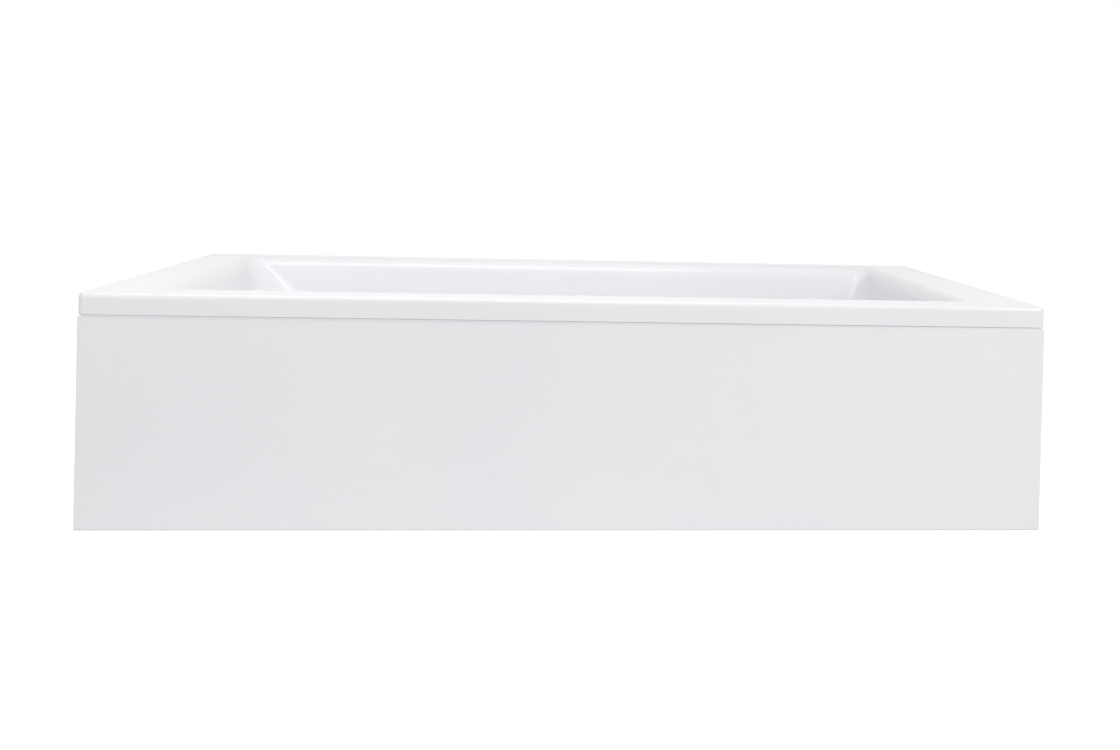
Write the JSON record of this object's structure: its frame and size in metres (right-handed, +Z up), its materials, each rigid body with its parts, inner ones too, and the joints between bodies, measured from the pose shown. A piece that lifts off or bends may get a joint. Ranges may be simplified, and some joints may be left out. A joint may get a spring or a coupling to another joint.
{
  "type": "alcove bathtub",
  "caption": "Rectangular white acrylic alcove bathtub with flat deck, sloping backrest, removable front panel, levelling feet and a lever-worked pop-up waste.",
  "frame": {"origin": "centre of the footprint on the room floor", "axes": "+X towards the foot end with the waste, +Y towards the back wall, +Z up"},
  "size_m": [1.524, 0.762, 0.366],
  "materials": {
    "white_acrylic": "gloss",
    "glass_fibre": "rough resin",
    "chipboard": "sealed board",
    "timber": "planed softwood",
    "galvanised": "zinc coated",
    "zinc_screw": "bright zinc",
    "chrome": "polished",
    "white_pvc": "satin",
    "grey_rubber": "matt",
    "black_nylon": "satin",
    "white_nylon": "satin",
    "brass": "dull"
  },
  "bodies": {
    "tub": {"tub_shell": "white_acrylic", "backing_shell": "glass_fibre", "base_board": "chipboard", "front_rim_rail": "timber", "back_rim_rail": "timber", "head_rim_rail": "timber", "foot_rim_rail": "timber", "head_bearer": "galvanised", "foot_bearer": "galvanised", "bearer_screws": "zinc_screw", "lock_nuts": "zinc_screw", "catch_sockets": "white_nylon", "top_batten": "timber", "bottom_batten": "timber", "batten_screws": "zinc_screw", "wall_brackets": "galvanised", "bracket_screws": "zinc_screw", "drain_flange": "chrome", "drain_gasket": "grey_rubber", "waste_shoe": "white_pvc", "shoe_tube": "white_pvc", "waste_tee": "white_pvc", "tailpiece": "white_pvc", "overflow_tube": "white_pvc", "slip_nuts": "white_nylon", "overflow_elbow": "white_pvc", "overflow_gasket": "grey_rubber", "overflow_plate": "chrome", "plate_screws": "chrome", "lever_pin": "brass", "rocker_pin": "brass"},
    "panel": {"front_panel": "white_acrylic", "panel_ribs": "timber", "catch_studs": "zinc_screw"},
    "lever": {"trip_lever": "chrome"},
    "rod": {"linkage_rod": "brass"},
    "rocker": {"rocker_arm": "brass"},
    "plug": {"drain_plug": "chrome", "plug_seal": "grey_rubber"},
    "foot_1": {"foot_stud_1": "zinc_screw", "foot_pad_1": "black_nylon"},
    "foot_2": {"foot_stud_2": "zinc_screw", "foot_pad_2": "black_nylon"},
    "foot_3": {"foot_stud_3": "zinc_screw", "foot_pad_3": "black_nylon"},
    "foot_4": {"foot_stud_4": "zinc_screw", "foot_pad_4": "black_nylon"}
  },
  "joints": [
    {"name": "lever_rock", "type": "hinge", "parent": "tub", "child": "lever", "pos_m": [0.65849, 0, 0.281], "axis": [0, 1, 0], "range_deg": [0, 34]},
    {"name": "rod_slide", "type": "slide", "parent": "tub", "child": "rod", "axis": [0, 0, -1], "range_m": [0, 0.0101]},
    {"name": "rocker_tilt", "type": "hinge", "parent": "tub", "child": "rocker", "pos_m": [0.56, 0, 0.058], "axis": [0, 1, 0], "range_deg": [0, 5.01]},
    {"name": "plug_lift", "type": "slide", "parent": "tub", "child": "plug", "axis": [0, 0, 1], "range_m": [0, 0.00805]},
    {"name": "panel_pull", "type": "slide", "parent": "tub", "child": "panel", "axis": [0, -1, 0], "range_m": [0, 0.06]},
    {"name": "foot_1_screw", "type": "slide", "parent": "tub", "child": "foot_1", "axis": [0, 0, 1], "range_m": [-0.01, 0.008]},
    {"name": "foot_2_screw", "type": "slide", "parent": "tub", "child": "foot_2", "axis": [0, 0, 1], "range_m": [-0.01, 0.008]},
    {"name": "foot_3_screw", "type": "slide", "parent": "tub", "child": "foot_3", "axis": [0, 0, 1], "range_m": [-0.01, 0.008]},
    {"name": "foot_4_screw", "type": "slide", "parent": "tub", "child": "foot_4", "axis": [0, 0, 1], "range_m": [-0.01, 0.008]}
  ],
  "couplings": [
    {"joint": "rod_slide", "follows": "lever_rock", "m_per_rad": 0.017},
    {"joint": "rocker_tilt", "follows": "lever_rock", "ratio": 0.1472},
    {"joint": "plug_lift", "follows": "lever_rock", "m_per_rad": 0.013542}
  ]
}
